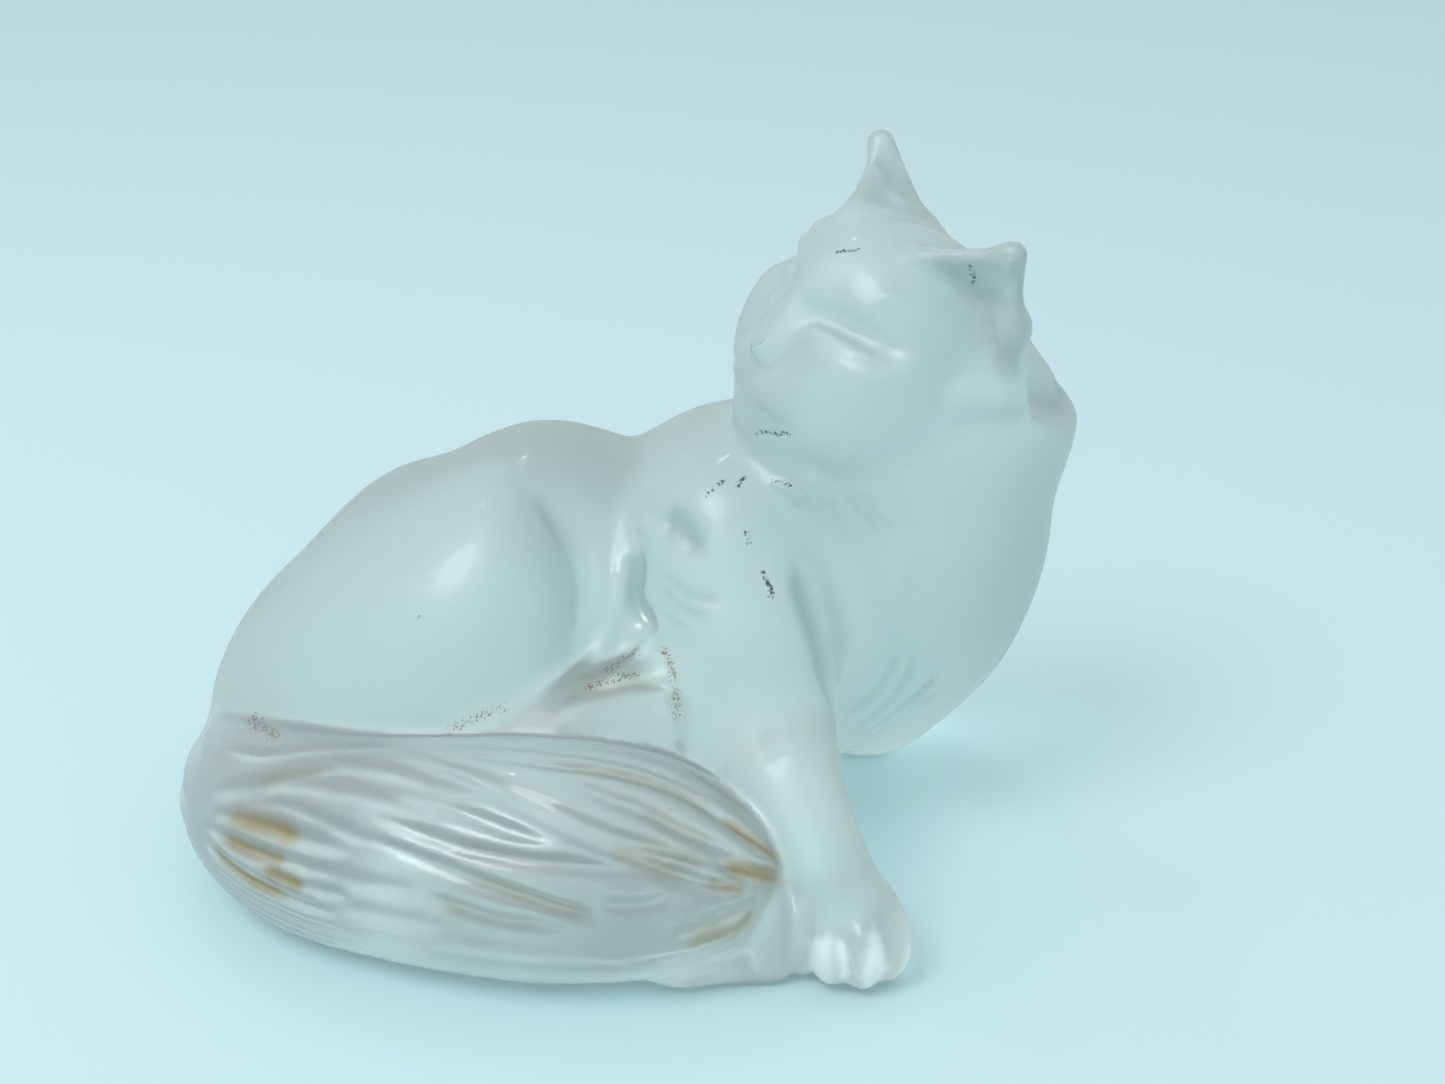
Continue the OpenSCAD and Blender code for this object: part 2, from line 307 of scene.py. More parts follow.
def ear_form(q, ear):
    # only the points in a box round the ear are worked out
    near = np.all((q > (-12, 0, -6)) & (q < (13, 20, 23)), axis=1)
    out = np.full(len(q), FAR_AWAY, np.float32)
    p = q[near]
    if len(p):
        shell = sheet(p, ear['front'], ear['back'], ear['tip'])
        for second, third in (('rim', 'tip'), ('outer', 'rim'), ('low', 'outer')):
            shell = join(shell, sheet(p, ear['back'], ear[second], ear[third]), 3.0)
        # thick at the foot and thin at the tip
        out[near] = shell - np.clip(1.75 - 0.07 * (p[:, 2] - 2), 0.75, 1.75)
    return out


def head_form(p):
    q = in_head(p)
    far = q * np.float32((1, -1, 1))
    near_ear = ear_form(q, NEAR_EAR)
    for points, width, depth in EAR_HAIR:
        near_ear += stroke(q, points, width, depth)
    d = join(face_form(q), near_ear, 2.2)
    return join(d, ear_form(far, FAR_EAR), 3.5)


# ---------------------------------------------------------------------------------------
# The tail: a thick plume that comes round from behind and lies along the right side. Its
# fur is cut in long locks that start at one point beside the rump, sweep down as they run
# forward, and close again at the tip. Each cut throws up a soft lip along its upper side.
# ---------------------------------------------------------------------------------------
TAIL_ROOT = [[-36, 20, 6, 7, 7, 6.5], [-41, 14, 7.5, 8.5, 8.5, 8], [-43.5, 7, 9, 10, 9.5, 9.6]]
PLUME = [[-43.8, 6, 9.2, 9.8, 9.8, 9.6], [-42, -5, 9.8, 12, 12, 11], [-34.5, -15, 11, 13, 13, 12.4],
         [-22, -21, 12, 13.4, 13.4, 13.2], [-10, -24, 12.6, 13.6, 13.6, 13.8],
         [-2, -24.5, 12.4, 12.8, 13, 13.2], [3, -24.7, 12, 12, 12, 12.1],
         [8, -25, 11.2, 9.4, 9.4, 9.8], [12, -25.4, 10.6, 5.6, 5.6, 7], [14.2, -26, 10.4, 3, 4, 4.4]]
# each cut: points along it, width, depth
LOCK_CUTS = [
    # the fan beside the rump
    ([(-47, -16.5, 17), (-43, -19, 19), (-39.5, -20.5, 20.7), (-36, -21, 22),
      (-30.5, -22.5, 23.4)], 0.9, 0.44),
    ([(-45.5, -18.5, 17), (-41.5, -21, 19.2), (-37.5, -22, 21.2), (-33, -24, 22), (-27, -27, 22.5),
      (-20, -31, 22)], 0.9, 0.39),
    ([(-44.5, -20, 17), (-40.3, -22.5, 19), (-36, -25, 19.8), (-31.5, -28, 19.5),
      (-27, -30.5, 19)], 0.8, 0.33),
    ([(-46.5, -19, 15.2), (-42.7, -22.2, 16.9), (-39, -25, 17.6), (-35, -27.5, 17.6),
      (-30, -30, 17.6)], 1.2, 0.55),
    ([(-47.8, -18.3, 13.4), (-44.3, -22.4, 14.2), (-40, -26, 14.7), (-36.5, -28, 14.8),
      (-31, -30.5, 15)], 0.9, 0.5),
    ([(-47.8, -18.7, 12.1), (-46, -21.3, 11.3), (-41.7, -25.4, 11), (-36.5, -28.7, 10.5),
      (-31.5, -31, 10.2)], 0.9, 0.5),
    ([(-40, -26.5, 12.9), (-37, -28.4, 12.9), (-34.4, -29.8, 12.7), (-29, -32, 12.9)], 0.8, 0.39),
    ([(-48.3, -18, 10.4), (-46.5, -20.3, 8.6), (-42, -24.8, 8.2), (-35.5, -28.5, 7.6),
      (-28.5, -31.5, 7.2)], 0.8, 0.33),
    ([(-49.5, -15.8, 7.4), (-46.4, -19.1, 6), (-41, -24.3, 5.6), (-35, -27.3, 4.6),
      (-28, -29.8, 4.2)], 0.8, 0.28),
    # long locks over the crown of the plume
    ([(-46, -11.5, 19.6), (-41, -16, 21.3), (-36, -17.5, 22.8), (-30, -18.7, 23.9),
      (-24.5, -19.7, 24.7)], 0.6, 0.28),
    ([(-20, -20.5, 25.1), (-11, -22.3, 26), (-6.5, -23.5, 26), (-2, -24, 25.6), (4.2, -25, 24.3),
      (9.6, -26.6, 21.8)], 0.55, 0.3),
    ([(-20, -22.7, 25.2), (-11, -25.2, 26), (-6.5, -26.3, 25.9), (-2.2, -26.5, 25.5), (2, -27, 24.6),
      (6.4, -27.5, 23.2), (10.7, -28.3, 20.6), (15, -27.8, 16.8), (17.6, -26.2, 13.4)], 0.65, 0.5),
    ([(-12, -18, 24.9), (-6, -18.2, 25), (1.8, -18.3, 23.6), (6.3, -21.8, 23.4), (10.7, -23.6, 21.2),
      (14.6, -24.4, 18.1)], 0.5, 0.22),
    ([(-33, -20, 23.3), (-29, -22.5, 23.8), (-24.7, -24.5, 24.1), (-20.5, -27.4, 24),
      (-15, -30, 23.8)], 0.9, 0.44),
    ([(-24.5, -21.3, 24.7), (-20, -24.3, 25.1), (-15, -27.6, 25), (-10.6, -30.3, 24.5),
      (-6.2, -32, 23.5), (-2, -33.4, 21.9), (3.3, -33.8, 20.4), (8.6, -33.2, 18.2)], 0.75, 0.52),
    ([(-4.8, -28.4, 25.2), (-1.5, -30.1, 24.2), (2.2, -30.7, 23.2), (6.5, -31.7, 21.1),
      (10, -31.4, 19.2), (14, -30.3, 16.2)], 0.75, 0.55),
    ([(-15, -29.2, 24.5), (-8, -32.6, 23), (-4, -33.8, 21.7), (-1, -34.6, 20.4), (2.5, -34.8, 19.3),
      (7.5, -34.6, 16.7), (13.4, -32.2, 13.9)], 0.8, 0.55),
    ([(-24.5, -27, 23.2), (-20.4, -29, 23), (-15.3, -31.5, 22.6), (-12, -33, 22),
      (-7, -34.4, 21)], 0.8, 0.44),
    # long locks down the side
    ([(-26, -29.2, 21.3), (-20, -32.2, 20.5), (-15.5, -34, 20), (-10, -35.2, 19.6), (-4.5, -35.7, 19.2),
      (2.5, -35.4, 18.2)], 0.8, 0.52),
    ([(-26.5, -30.6, 19.3), (-19, -34.1, 18.2), (-14.5, -35.7, 17.2), (-10.3, -36.7, 16.2),
      (-6, -37.3, 14.9), (-2, -37.3, 13.7)], 0.8, 0.55),
    ([(-20, -35, 14.6), (-17, -36, 14.2), (-13.5, -36.8, 13.4), (-6, -37.6, 12.8)], 0.8, 0.44),
    ([(-2, -37, 15.2), (2.3, -36.7, 14.9), (5, -36, 15.4)], 0.7, 0.28),
    ([(-35, -29.2, 14.3), (-29, -31.8, 14.7), (-21, -34.7, 15)], 1.0, 0.19),
    ([(-31.7, -31, 11.3), (-23.6, -34.2, 11.4), (-16, -36.3, 10.9), (-6.3, -37.3, 10)], 1.1, 0.22),
    ([(-28, -32, 7.8), (-15, -35.5, 7.5), (-6.4, -36.5, 7.2), (2, -35.7, 6.5)], 1.1, 0.22),
    # where the locks close at the tip
    ([(2, -36.2, 7.3), (6.4, -35.2, 7.2), (9.6, -34, 7.5), (12.7, -32.5, 8.3),
      (14.3, -31.5, 11)], 0.9, 0.66),
    ([(5.6, -36.2, 11), (8.6, -35.3, 11.6), (12.7, -33, 11.7), (14.8, -31.2, 11.9)], 0.8, 0.39),
    ([(10.5, -32.5, 17.4), (15, -30, 14.6), (18, -27, 11.8)], 0.8, 0.5),
    # round the back, where the tail leaves the rump
    ([(-51.5, -12, 13), (-53, -5, 12), (-52.5, 4, 11.5), (-49.5, 12, 10.5), (-44, 20, 9)], 0.9, 0.39),
    ([(-50.5, -14, 9), (-53.6, -5, 8.5), (-53.5, 4, 8), (-50, 13, 7), (-43.5, 21.5, 6)], 0.9, 0.39),
    ([(-50, -9, 17), (-51, -3, 16), (-50.5, 4, 15.4), (-47, 12, 14)], 0.9, 0.33),
    ([(-49.5, -14, 4.5), (-52.5, -5, 4.5), (-52, 4, 4), (-48.5, 13, 3.5), (-42, 22, 3)], 0.9, 0.28)]


# the lip above a cut: how far up it lies and how wide it is, in widths of the cut, and how
# high it stands, in depths of the cut
LIP_RISE = 1.9
LIP_WIDTH = 1.3
LIP_HEIGHT = 0.4
CUT_REACH = 2.5


def lock_cuts(p):
    """How deep the cuts between the tail's locks go at points near its surface."""
    total = np.zeros(len(p), np.float32)
    for points, width, depth in LOCK_CUTS:
        upper = [(x, y, z + LIP_RISE * width) for x, y, z in points]
        total += stroke(p, points, width, depth)
        total += stroke(p, upper, LIP_WIDTH * width, -LIP_HEIGHT * depth)
    return total


def tail_form(p):
    d = join(limb(p, PLUME, 26), limb(p, TAIL_ROOT, 8), 2)
    near = np.abs(d) < CUT_REACH
    if near.any():
        d[near] += lock_cuts(p[near])
    return d


# ---------------------------------------------------------------------------------------
# Fur marks: folds and hair strokes cut into the wax with a graver. Each is a curved line
# on the surface, with its width and depth; a negative depth is a raised line.
# ---------------------------------------------------------------------------------------
FLANK_MARKS = [
    ([(-10.5, -1, 46), (-6.5, -3.5, 42), (-5, -5, 37.5), (-6, -8, 33)], 1.4, 0.4),
    ([(-5.5, -3.5, 41), (-4.5, -5.5, 37), (-5, -7.5, 33.5)], 0.7, -0.35),
    ([(-3.5, -3, 40.5), (-3, -5, 37), (-3.5, -6.5, 33)], 0.7, -0.35),
    ([(-0.5, -2, 41), (-1, -5.5, 35.5), (-3.5, -8.5, 30), (-7, -14, 28)], 0.9, -0.8),
    ([(1.6, -3.5, 41), (1.2, -4.5, 38), (1.2, -5.5, 35.5), (4, -8.5, 33)], 1.0, 1.3),
    ([(4.4, -4, 45.4), (6.2, -5.8, 45.2), (8.6, -8.6, 43)], 1.7, 0.9),
    ([(-1, -2, 44.4), (2.6, -3, 43.6), (3.8, -4.8, 41.6), (6, -8, 39.4)], 0.8, -0.7),
    ([(4, -7, 40.2), (7, -10, 38.6), (11, -11.5, 38.6)], 0.55, 0.45),
    ([(4, -7.5, 38.2), (6, -10, 37), (9.5, -12, 36.8)], 0.55, 0.45),
    ([(3.5, -8.5, 36), (5.5, -10, 35.2), (8, -11.5, 34.8)], 0.5, 0.3),
    ([(3.5, -8, 32.5), (1, -10, 30.5), (-2, -14, 29.5)], 0.7, -0.6),
    ([(-15, -16, 28), (-8, -15.5, 28.6), (2, -14, 29.6), (5.5, -13.5, 28.5)], 0.6, 0.35),
    ([(5.5, -14, 28.5), (6.6, -16, 26), (6.8, -17.5, 22.5)], 0.9, 0.7)]
MANE_MARKS = [
    ([(43.3, -2.3, 56.9), (47, -0.1, 55.1), (50.3, 3.2, 53.6), (51.6, 8, 52.8), (51.4, 13, 52.6),
      (49.5, 18, 52.8)], 1.0, -0.45),
    ([(44.5, 0.5, 59.4), (47.5, 2.6, 57.8), (50.4, 6, 56), (50.4, 11, 55.6), (48.6, 17, 56)], 2.0, 0.7),
    ([(25.5, 0, 17), (28.5, -1, 20.5), (30.5, -2, 24), (31.5, -3.5, 28)], 0.55, 0.6),
    ([(26.5, 2, 14), (30, 0.5, 18), (32.5, -1, 22.5), (33.5, -3, 27.5)], 0.55, 0.6),
    ([(27.5, 4, 12), (32, 2, 17), (35.5, 0.5, 22), (36.5, -1.5, 28)], 0.55, 0.6),
    ([(29.5, 6, 10.5), (33, 3, 15), (37, 2, 20)], 0.55, 0.6),
    ([(32, -6, 41.5), (30.8, -6, 38), (28, -4.5, 30.5), (24.5, -2.5, 23)], 1.3, -0.5),
    ([(15, -4.6, 51), (17, -5, 50), (18.5, -5, 49), (19.8, -5.5, 47.5)], 0.55, -0.6),
    ([(20.6, -5.8, 51.2), (22.3, -6, 49.4), (23.4, -6, 47)], 0.5, -0.6),
    ([(24.5, -6.5, 49.5), (26.5, -6.5, 47), (28.5, -6, 44.5)], 0.5, 0.4),
    ([(26, -7, 50), (28, -7, 47.5), (30.5, -6.5, 44.5)], 0.5, 0.35)]
LEG_MARKS = [
    ([(19.5, -8, 41), (20.5, -9.5, 37), (22, -11, 32.5), (23.2, -12, 27)], 1.6, 0.9),
    ([(15.5, -18, 26), (16.5, -19.5, 24.5), (17.5, -21, 22.5)], 1.4, 0.35)]


def fur_marks(p):
    total = np.zeros(len(p), np.float32)
    for points, width, depth in FLANK_MARKS + MANE_MARKS + LEG_MARKS:
        total += stroke(p, points, width, depth)
    return total


# ---------------------------------------------------------------------------------------
# The casting: all the masses poured as one piece of lead crystal and ground flat where it
# stands. The skin is found on a fine grid, then each point is settled onto the true form.
# ---------------------------------------------------------------------------------------
GRID = 0.62
ROUGH_CELLS = 4
HALF_DIAGONAL = 0.87  # of a cube, in edges
DEEPEST_CUT = 1.8
OUTSIDE = 5.0
BATCH = 300000
NUDGE = 0.05


def casting_form(p):
    body = join(body_form(p), mane_form(p), 5)
    body = join(body, leg_form(p), 5)
    body = join(body, head_form(p), np.clip(1.4 + 0.2 * (p[:, 0] - 25), 1.4, 5))
    body += fur_marks(p)
    d = join(body, tail_form(p), 0.9)
    d = join(d, paw_form(p), 1.2)
    return hollow(d, p[:, 2], 0.7)


def grid_of(form, low, high, cell):
    """Distances on a fine grid, worked out only in the rough cells that the skin may cross."""
    big = cell * ROUGH_CELLS
    count = np.ceil((high - low) / big).astype(int)
    rough = np.stack(np.indices(count), -1).reshape(-1, 3)
    middle = (low + big * (rough + 0.5)).astype(np.float32)
    value = form(middle)
    grid = np.where(value > 0, OUTSIDE, -OUTSIDE).astype(np.float32).reshape(count)
    for axis in range(3):
        grid = grid.repeat(ROUGH_CELLS, axis)
    fine = np.stack(np.indices([ROUGH_CELLS] * 3), -1).reshape(-1, 3)
    near = rough[np.abs(value) < big * HALF_DIAGONAL + DEEPEST_CUT]
    index = (near[:, None] * ROUGH_CELLS + fine).reshape(-1, 3)
    for start in range(0, len(index), BATCH):
        part = index[start:start + BATCH]
        grid[tuple(part.T)] = form((low + cell * (part + 0.5)).astype(np.float32))
    return grid


def skin_of(grid, low, cell):
    """Points and four-sided faces of the surface where the grid changes sign."""
    grid = np.pad(grid, 1, constant_values=OUTSIDE)
    n = np.array(grid.shape) - 1
    total = np.zeros((*n, 3), np.float32)
    crossings = np.zeros(n, np.float32)
    for corner in np.ndindex(2, 2, 2):
        for axis in range(3):
            if corner[axis]:
                continue
            other = list(corner)
            other[axis] = 1
            a = grid[tuple(slice(c, m + c) for c, m in zip(corner, n))]
            b = grid[tuple(slice(c, m + c) for c, m in zip(other, n))]
            crossed = (a < 0) != (b < 0)
            place = np.tile(np.array(corner, np.float32), (crossed.sum(), 1))
            place[:, axis] = a[crossed] / (a[crossed] - b[crossed])
            total[crossed] += place
            crossings[crossed] += 1
    used = crossings > 0
    cells = np.argwhere(used)
    number = np.full(used.shape, -1, np.int64)
    number[used] = np.arange(len(cells))
    points = low + cell * (cells - 0.5 + total[used] / crossings[used][:, None])
    faces = []
    for axis in range(3):
        first, second = (axis + 1) % 3, (axis + 2) % 3
        a = [slice(1, -1)] * 3
        b = [slice(1, -1)] * 3
        a[axis], b[axis] = slice(0, -1), slice(1, None)
        solid = grid[tuple(a)] < 0
        edge = np.argwhere(solid != (grid[tuple(b)] < 0))
        outward = solid[tuple(edge.T)]
        edge[:, first] += 1
        edge[:, second] += 1
        ring = []
        for back_1, back_2 in ((1, 1), (0, 1), (0, 0), (1, 0)):
            at = edge.copy()
            at[:, first] -= back_1
            at[:, second] -= back_2
            ring.append(number[tuple(at.T)])
        ring = np.stack(ring, 1)
        ring[~outward] = ring[~outward][:, ::-1]
        faces.append(ring)
    return points, np.concatenate(faces)


def slope(form, points, at):
    """Direction in which the distance grows fastest at each point."""
    nudge = NUDGE * np.eye(3, dtype=np.float32)
    return np.stack([form(points + nudge[i]) - at for i in range(3)], 1) / NUDGE


def settle(form, points, rounds=2, reach=0.35):
    """The points, moved onto the surface of the form."""
    points = points.astype(np.float32)
    for _ in range(rounds):
        at = form(points)
        way = slope(form, points, at)
        # on a flat slope the step would run away, so it is held back there
        move = -(at / np.maximum((way * way).sum(1), 0.25))[:, None] * way
        size = np.linalg.norm(move, axis=1, keepdims=True)
        points = points + move * np.minimum(1, reach / np.maximum(size, 1e-6))
    return points


grid_low = np.array(cad_box[0]) * 1000 - 3
grid_high = np.array(cad_box[1]) * 1000 + 3
grid_low[2] = -2
skin_points, skin_faces = skin_of(grid_of(casting_form, grid_low, grid_high, GRID), grid_low, GRID)
skin_points = settle(casting_form, skin_points)
# no point of the ground foot lies under the table top
skin_points[:, 2] = np.maximum(skin_points[:, 2], 0)

casting_mesh = bpy.data.meshes.new("crystal_casting")
casting_mesh.from_pydata((skin_points / 1000).tolist(), [], skin_faces.tolist())
casting_mesh.polygons.foreach_set("use_smooth", [True] * len(skin_faces))
casting = bpy.data.objects.new("crystal_casting", casting_mesh)
bpy.context.scene.collection.objects.link(casting)


# ---------------------------------------------------------------------------------------
# The finish: the casting was dipped in acid for a satin skin, then the tail, the paws, the
# nose, a ridge of the flank and the ground edge of the foot were rubbed brighter.
# ---------------------------------------------------------------------------------------
RUBBED = [([(16, -26, 8), (24, -28, 9), (29, -27, 7)], 7, 0.3),
          ([(-46, -9, 20), (-43, -13, 20.5), (-38, -16, 22.5)], 3, 0.9),
          ([(1.6, -3.5, 41), (1.2, -5, 36.5), (3.4, -8, 33)], 1.8, 0.7),
          ([(15.4, -2.2, 66.2), (15.8, -2.6, 65.4)], 1.4, 1.0)]
TAIL_RUBBED = 0.25
TAIL_SKIN = 1.6
FOOT_EDGE = 1.6


def step_up(x, low, high):
    """0 below low, 1 above high, and smooth between."""
    part = np.clip((x - low) / (high - low), 0, 1)
    return part * part * (3 - 2 * part)


def paint(name, amount):
    """Keeps an amount at each point of the casting for the crystal to read."""
    mask = casting_mesh.attributes.new(name, 'FLOAT', 'POINT')
    mask.data.foreach_set("value", np.clip(amount, 0, 1).astype(np.float32))


def smeared(places, blur=0.35):
    """Amount of something that lies along curved lines, each with its width and strength."""
    total = np.zeros(len(skin_points), np.float32)
    for points, width, strength in places:
        total = np.maximum(total, stroke(skin_points, points, width + blur, strength))
    return total


on_tail = step_up(TAIL_SKIN - tail_form(skin_points), 0, 1)
foot_edge = np.exp(-(skin_points[:, 2] / FOOT_EDGE) ** 2)
paint("plume", on_tail)
paint("rubbed", np.maximum(np.maximum(TAIL_RUBBED * on_tail, smeared(RUBBED)), foot_edge))

# ---------------------------------------------------------------------------------------
# Age: amber wax left in the tail's cuts, brown dust in the fold of the flank and where the
# tail meets the rump, and small dark nicks along the raised places. Painted shade: a dark
# contact shadow round the foot, and greyer glass in the folds of the fur and the clear front paw.
# ---------------------------------------------------------------------------------------
WAX = [
    ([(-45.5, -20.3, 16.2), (-42, -23, 17), (-38, -25.7, 17.6), (-35, -27.6, 17.4)], 0.9, 1.0),
    ([(-45.5, -21, 13.8), (-40.5, -25.6, 14.6), (-36.8, -28, 14.8)], 0.55, 1.0),
    ([(-47, -20, 11.8), (-42, -25, 11), (-36.5, -28.7, 10.5)], 0.55, 1.0),
    ([(-39.8, -26.6, 12.9), (-37, -28.4, 12.9), (-34.6, -29.7, 12.7)], 0.6, 1.0),
    ([(-41.5, -19.8, 20), (-38, -20.6, 21.4), (-33, -22, 22.8)], 0.4, 0.45),
    ([(-18, -33, 20.4), (-10, -35.3, 19.8), (-4.5, -35.8, 19.3)], 0.35, 0.3),
    ([(-17, -34.8, 18), (-10.3, -36.7, 16.3), (-6, -37.3, 15), (-3, -37.4, 14)], 0.5, 0.45),
    ([(-19.5, -35.2, 14.5), (-13.5, -36.8, 13.5), (-8, -37.5, 13)], 0.45, 0.35),
    ([(-1, -34.6, 20.3), (2.5, -34.8, 19.3), (7.5, -34.6, 16.9)], 0.5, 0.5),
    ([(2, -34, 21), (6, -33.8, 19.6), (9, -33.2, 18)], 0.6, 0.4),
    ([(-8, -26.2, 26), (2, -27, 24.6), (6.4, -27.5, 23.2), (10.7, -28.3, 20.6)], 0.4, 0.45),
    ([(10.7, -28.3, 20.6), (15, -27.8, 16.8), (17.6, -26.2, 13.4)], 0.5, 0.9),
    ([(2.2, -30.7, 23.2), (6.5, -31.7, 21.1), (10, -31.4, 19.2)], 0.4, 0.4),
    ([(6.3, -21.8, 23.4), (10.7, -23.6, 21.2), (14.6, -24.4, 18.1)], 0.4, 0.5),
    ([(11, -32.4, 17), (15, -30, 14.6), (18, -27, 11.8)], 0.6, 1.0),
    ([(-6, -12.5, 28.8), (-2, -12, 31), (2, -10, 33)], 0.5, 0.35),
    ([(-8, -15.2, 28.4), (-2, -14.4, 29.4), (4, -13.4, 29.2)], 0.4, 0.4),
    ([(8.6, -33.4, 16), (13.4, -32.2, 13.9)], 0.6, 0.7),
    ([(6.4, -35.3, 9.5), (9.6, -34.2, 9.6), (12.7, -32.7, 9.4), (14.2, -31.6, 11)], 1.3, 0.7)]
DUST = [
    ([(-6.2, -14, 28.5), (-2.8, -13.7, 29.2), (0, -13, 29.9), (2.8, -12.5, 30.1)], 1.0, 1.0),
    ([(-2.8, -13.2, 29.5), (-0.7, -10.2, 30.2), (2.2, -8.8, 32.3)], 2.4, 1.0),
    ([(3.3, -9.4, 32.6), (5.1, -12.2, 31.3), (5.8, -14.3, 27.5), (6, -16.8, 23.1)], 1.1, 1.0),
    ([(-45.3, -4.7, 20.8), (-42.3, -9.5, 21.3), (-38.6, -14.8, 22.4)], 2.0, 1.0),
    ([(-21.8, -16.7, 24.3), (-18.4, -16.7, 25.6), (-15, -16.2, 27), (-11.7, -15.1, 27.7)], 1.1, 0.95)]
# painted shade over the front paw
PAW_SHADE = [([(20, -24, 6), (25, -28, 7), (29, -28, 5)], 5, 0.5)]
NICKS = [
    ([(8.5, -5.8, 47.5), (9.8, -4.7, 49.1), (10.9, -4.1, 49.8), (12.4, -3.5, 50.3)], 0.34, 0.9),
    ([(12.2, -5.2, 49.1), (13.2, -4, 50), (13.9, -3.4, 50.5)], 0.36, 1.0),
    ([(15.8, -4, 50.1), (17.5, -4.7, 50.1), (19.4, -4.9, 49.4)], 0.32, 0.95),
    ([(13.5, -7.8, 45.9), (13.9, -8.6, 44.7), (14.1, -9.2, 43.5)], 0.34, 0.95),
    ([(14.9, -9.8, 42.2), (15.8, -10.4, 40.8), (16.5, -11, 39.4), (16.3, -11.9, 38.2)], 0.4, 0.95),
    ([(14.1, -1.6, 54.7), (15.8, -3.5, 55.6), (17.6, -5, 56), (19.6, -6.8, 56.3)], 0.32, 0.95),
    ([(22.8, -0.7, 75.4), (24.4, -1.2, 75.9), (26.8, -1.9, 76.3)], 0.32, 0.9),
    ([(37.4, -5.2, 76.3), (38, -4.1, 74.4), (38.4, -2.4, 71.9)], 0.36, 0.95),
    ([(31.2, -7.6, 53.6), (31.9, -7.3, 52.6)], 0.3, 0.9),
    ([(-22.9, -12.8, 37.5), (-22.6, -13.4, 36.7)], 0.34, 0.9)]
FULL_SHADE_FOLD_DEPTH = 1.2
CONTACT_SHADOW_HEIGHT = 0.6
CONTACT_SHADOW_WIDTH = 0.45
paint("waxed", smeared(WAX, 0.3))
paint("dusty", smeared(DUST, 0.5))
paint("nicked", smeared(NICKS, 0.3))
# painted shade: the deeper a fold of the fur, the greyer its glass, and the front paw greyer too
paint("shaded", fur_marks(skin_points) / FULL_SHADE_FOLD_DEPTH + smeared(PAW_SHADE))
# painted shade: a dark band just above the table, standing in for the contact shadow round the foot
paint("contact_shadow", np.exp(-((skin_points[:, 2] - CONTACT_SHADOW_HEIGHT) / CONTACT_SHADOW_WIDTH) ** 2))

# specks: breaks an area up into scattered specks of one size, fewer where the area fades
specks = bpy.data.node_groups.new("specks", 'ShaderNodeTree')
for socket in ("Area", "Specks per metre", "Bare"):
    specks.interface.new_socket(socket, in_out='INPUT', socket_type='NodeSocketFloat')
specks.interface.new_socket("Mask", in_out='OUTPUT', socket_type='NodeSocketFloat')
area = specks.nodes.new("NodeGroupInput")
place = specks.nodes.new("ShaderNodeTexCoord")
grain = specks.nodes.new("ShaderNodeTexNoise")
grain.inputs["Detail"].default_value = 3
grain.inputs["Roughness"].default_value = 0.65
thinned = specks.nodes.new("ShaderNodeMath")
thinned.operation = 'MULTIPLY'
raised = specks.nodes.new("ShaderNodeMath")
raised.operation = 'SUBTRACT'
sharp = specks.nodes.new("ShaderNodeMath")
sharp.operation = 'MULTIPLY'
sharp.use_clamp = True
sharp.inputs[1].default_value = 14
speck_mask = specks.nodes.new("NodeGroupOutput")
specks.links.new(place.outputs["Object"], grain.inputs["Vector"])
specks.links.new(area.outputs["Specks per metre"], grain.inputs["Scale"])
specks.links.new(area.outputs["Area"], thinned.inputs[0])
specks.links.new(grain.outputs["Fac"], thinned.inputs[1])
specks.links.new(thinned.outputs[0], raised.inputs[0])
specks.links.new(area.outputs["Bare"], raised.inputs[1])
specks.links.new(raised.outputs[0], sharp.inputs[0])
specks.links.new(sharp.outputs[0], speck_mask.inputs["Mask"])

# ---------------------------------------------------------------------------------------
# The crystal: lead glass with a faint sea-green tint, milky at the skin from the acid. It
# turns greyer where it is thick, and lets part of the light through onto the table.
# ---------------------------------------------------------------------------------------
GLASS_TINT = (0.80, 0.89, 0.88, 1)
FUR_TINT = (0.88, 0.98, 0.98, 1)
WAX_COLOUR = (0.56, 0.36, 0.06, 1)
DUST_COLOUR = (0.30, 0.14, 0.04, 1)
NICK_COLOUR = (0.02, 0.02, 0.025, 1)
# colour of the painted shade in the folds and on the front paw
FOLD_SHADE_COLOUR = (0.40, 0.48, 0.50, 1)
# colour of the painted contact shadow round the foot
CONTACT_SHADOW_COLOUR = (0.16, 0.14, 0.11, 1)

crystal = bpy.data.materials.new("satin_lead_crystal")
crystal.use_nodes = True
nodes = crystal.node_tree.nodes
links = crystal.node_tree.links
glass = nodes["Principled BSDF"]
glass.inputs["Transmission Weight"].default_value = 0.74
glass.inputs["IOR"].default_value = 1.54
glass.inputs["Coat Roughness"].default_value = 0.12
glass.inputs["Coat IOR"].default_value = 1.5


def painted(name):
    mask = nodes.new("ShaderNodeAttribute")
    mask.attribute_name = name
    return mask.outputs["Fac"]


def speckled(name, per_metre, bare):
    group = nodes.new("ShaderNodeGroup")
    group.node_tree = specks
    links.new(painted(name), group.inputs["Area"])
    group.inputs["Specks per metre"].default_value = per_metre
    group.inputs["Bare"].default_value = bare
    return group.outputs["Mask"]


def stained(colour, stain, amount):
    """The colour with a stain laid over it by an amount that varies."""
    mix = nodes.new("ShaderNodeMix")
    mix.data_type = 'RGBA'
    links.new(amount, mix.inputs["Factor"])
    if isinstance(colour, tuple):
        mix.inputs["A"].default_value = colour
    else:
        links.new(colour, mix.inputs["A"])
    mix.inputs["B"].default_value = stain
    return mix.outputs["Result"]


def ranged(amount, low, high):
    """The amount from 0 to 1, turned into a value from low to high."""
    scale = nodes.new("ShaderNodeMapRange")
    links.new(amount, scale.inputs["Value"])
    scale.inputs["To Min"].default_value = low
    scale.inputs["To Max"].default_value = high
    return scale.outputs["Result"]


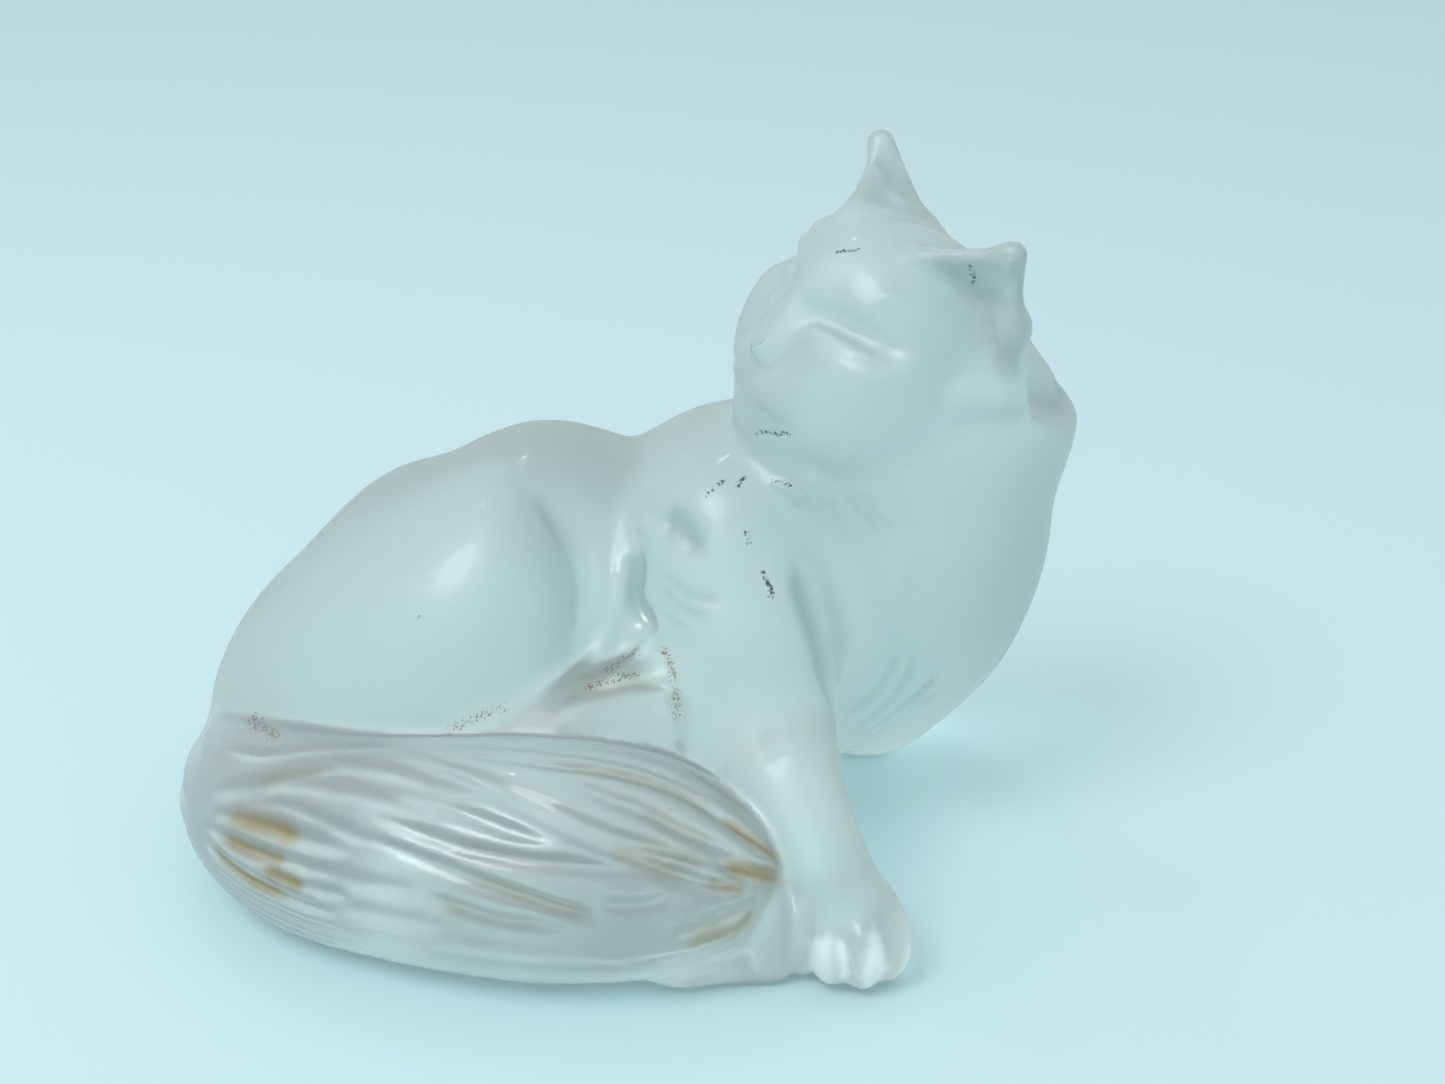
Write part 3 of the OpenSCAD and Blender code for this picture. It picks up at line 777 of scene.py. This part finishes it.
tint = stained(GLASS_TINT, FUR_TINT, painted("plume"))
# painted shade in the fur folds and on the front paw
tint = stained(tint, FOLD_SHADE_COLOUR, painted("shaded"))
# painted contact shadow along the foot
tint = stained(tint, CONTACT_SHADOW_COLOUR, ranged(painted("contact_shadow"), 0, 0.7))
tint = stained(tint, WAX_COLOUR, painted("waxed"))
tint = stained(tint, DUST_COLOUR, speckled("dusty", 3600, 0.48))
tint = stained(tint, NICK_COLOUR, speckled("nicked", 2600, 0.39))
links.new(tint, glass.inputs["Base Color"])
links.new(ranged(painted("rubbed"), 0.46, 0.2), glass.inputs["Roughness"])
links.new(ranged(painted("rubbed"), 0.15, 1.0), glass.inputs["Coat Weight"])

# fine grain of the acid bath, over the slow ripple of the cast skin
where = nodes.new("ShaderNodeTexCoord")
ripple = nodes.new("ShaderNodeTexNoise")
ripple.inputs["Scale"].default_value = 260
ripple.inputs["Detail"].default_value = 2
etch = nodes.new("ShaderNodeTexNoise")
etch.inputs["Scale"].default_value = 4200
etch.inputs["Detail"].default_value = 2
ripple_bump = nodes.new("ShaderNodeBump")
ripple_bump.inputs["Strength"].default_value = 0.35
ripple_bump.inputs["Distance"].default_value = 0.0004
etch_bump = nodes.new("ShaderNodeBump")
etch_bump.inputs["Strength"].default_value = 0.25
etch_bump.inputs["Distance"].default_value = 0.00005
links.new(where.outputs["Object"], ripple.inputs["Vector"])
links.new(where.outputs["Object"], etch.inputs["Vector"])
links.new(ripple.outputs["Fac"], ripple_bump.inputs["Height"])
links.new(etch.outputs["Fac"], etch_bump.inputs["Height"])
links.new(ripple_bump.outputs["Normal"], etch_bump.inputs["Normal"])
links.new(etch_bump.outputs["Normal"], glass.inputs["Normal"])

# the thicker the glass, the greyer and greener it looks
depth_tint = nodes.new("ShaderNodeVolumeAbsorption")
depth_tint.inputs["Color"].default_value = (0.35, 0.50, 0.40, 1)
depth_tint.inputs["Density"].default_value = 3.5
links.new(depth_tint.outputs[0], nodes["Material Output"].inputs["Volume"])

# lamps shine through the glass onto the table
clear = nodes.new("ShaderNodeBsdfTransparent")
clear.inputs["Color"].default_value = (0.5, 0.56, 0.57, 1)
ray_kind = nodes.new("ShaderNodeLightPath")
surface = nodes.new("ShaderNodeMixShader")
links.new(ray_kind.outputs["Is Shadow Ray"], surface.inputs[0])
links.new(glass.outputs[0], surface.inputs[1])
links.new(clear.outputs[0], surface.inputs[2])
links.new(surface.outputs[0], nodes["Material Output"].inputs["Surface"])
casting_mesh.materials.append(crystal)

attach(casting, "root")
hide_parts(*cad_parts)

# ---------------------------------------------------------------------------------------
# The table and the light: a plain pale table that fills the view, a wide soft window high
# at the front left, a small lamp at the back left, and an even light all round.
# ---------------------------------------------------------------------------------------
table_mesh = bpy.data.meshes.new("table")
table_mesh.from_pydata([(-9, -9, 0), (9, -9, 0), (9, 9, 0), (-9, 9, 0)], [], [(0, 1, 2, 3)])
table = bpy.data.objects.new("table", table_mesh)
bpy.context.scene.collection.objects.link(table)
paper = bpy.data.materials.new("pale_table")
paper.use_nodes = True
paper.node_tree.nodes["Principled BSDF"].inputs["Base Color"].default_value = (0.55, 0.745, 0.78, 1)
paper.node_tree.nodes["Principled BSDF"].inputs["Roughness"].default_value = 0.6
table_mesh.materials.append(paper)

sky = bpy.data.worlds.new("even_light")
sky.use_nodes = True
sky.node_tree.nodes["Background"].inputs["Color"].default_value = (0.93, 0.98, 1.0, 1)
sky.node_tree.nodes["Background"].inputs["Strength"].default_value = 0.76
bpy.context.scene.world = sky


def soft_light(name, place, aim, size, power):
    lamp = bpy.data.lights.new(name, 'AREA')
    lamp.shape = 'DISK'
    lamp.size = size
    lamp.energy = power
    holder = bpy.data.objects.new(name, lamp)
    bpy.context.scene.collection.objects.link(holder)
    holder.location = place
    holder.rotation_euler = (Vector(aim) - Vector(place)).to_track_quat('-Z', 'Y').to_euler()


soft_light("window", (-0.36, -0.42, 0.8), (0, -0.05, 0.02), 0.45, 4.2)
soft_light("ceiling_lamp", (-0.22, 0.4, 0.8), (0, 0, 0.03), 0.03, 0.25)

view = bpy.context.scene
view.view_settings.view_transform = 'Standard'
# light crosses thick glass many times before it comes out
view.cycles.max_bounces = 28
view.cycles.transmission_bounces = 28
view.cycles.glossy_bounces = 20
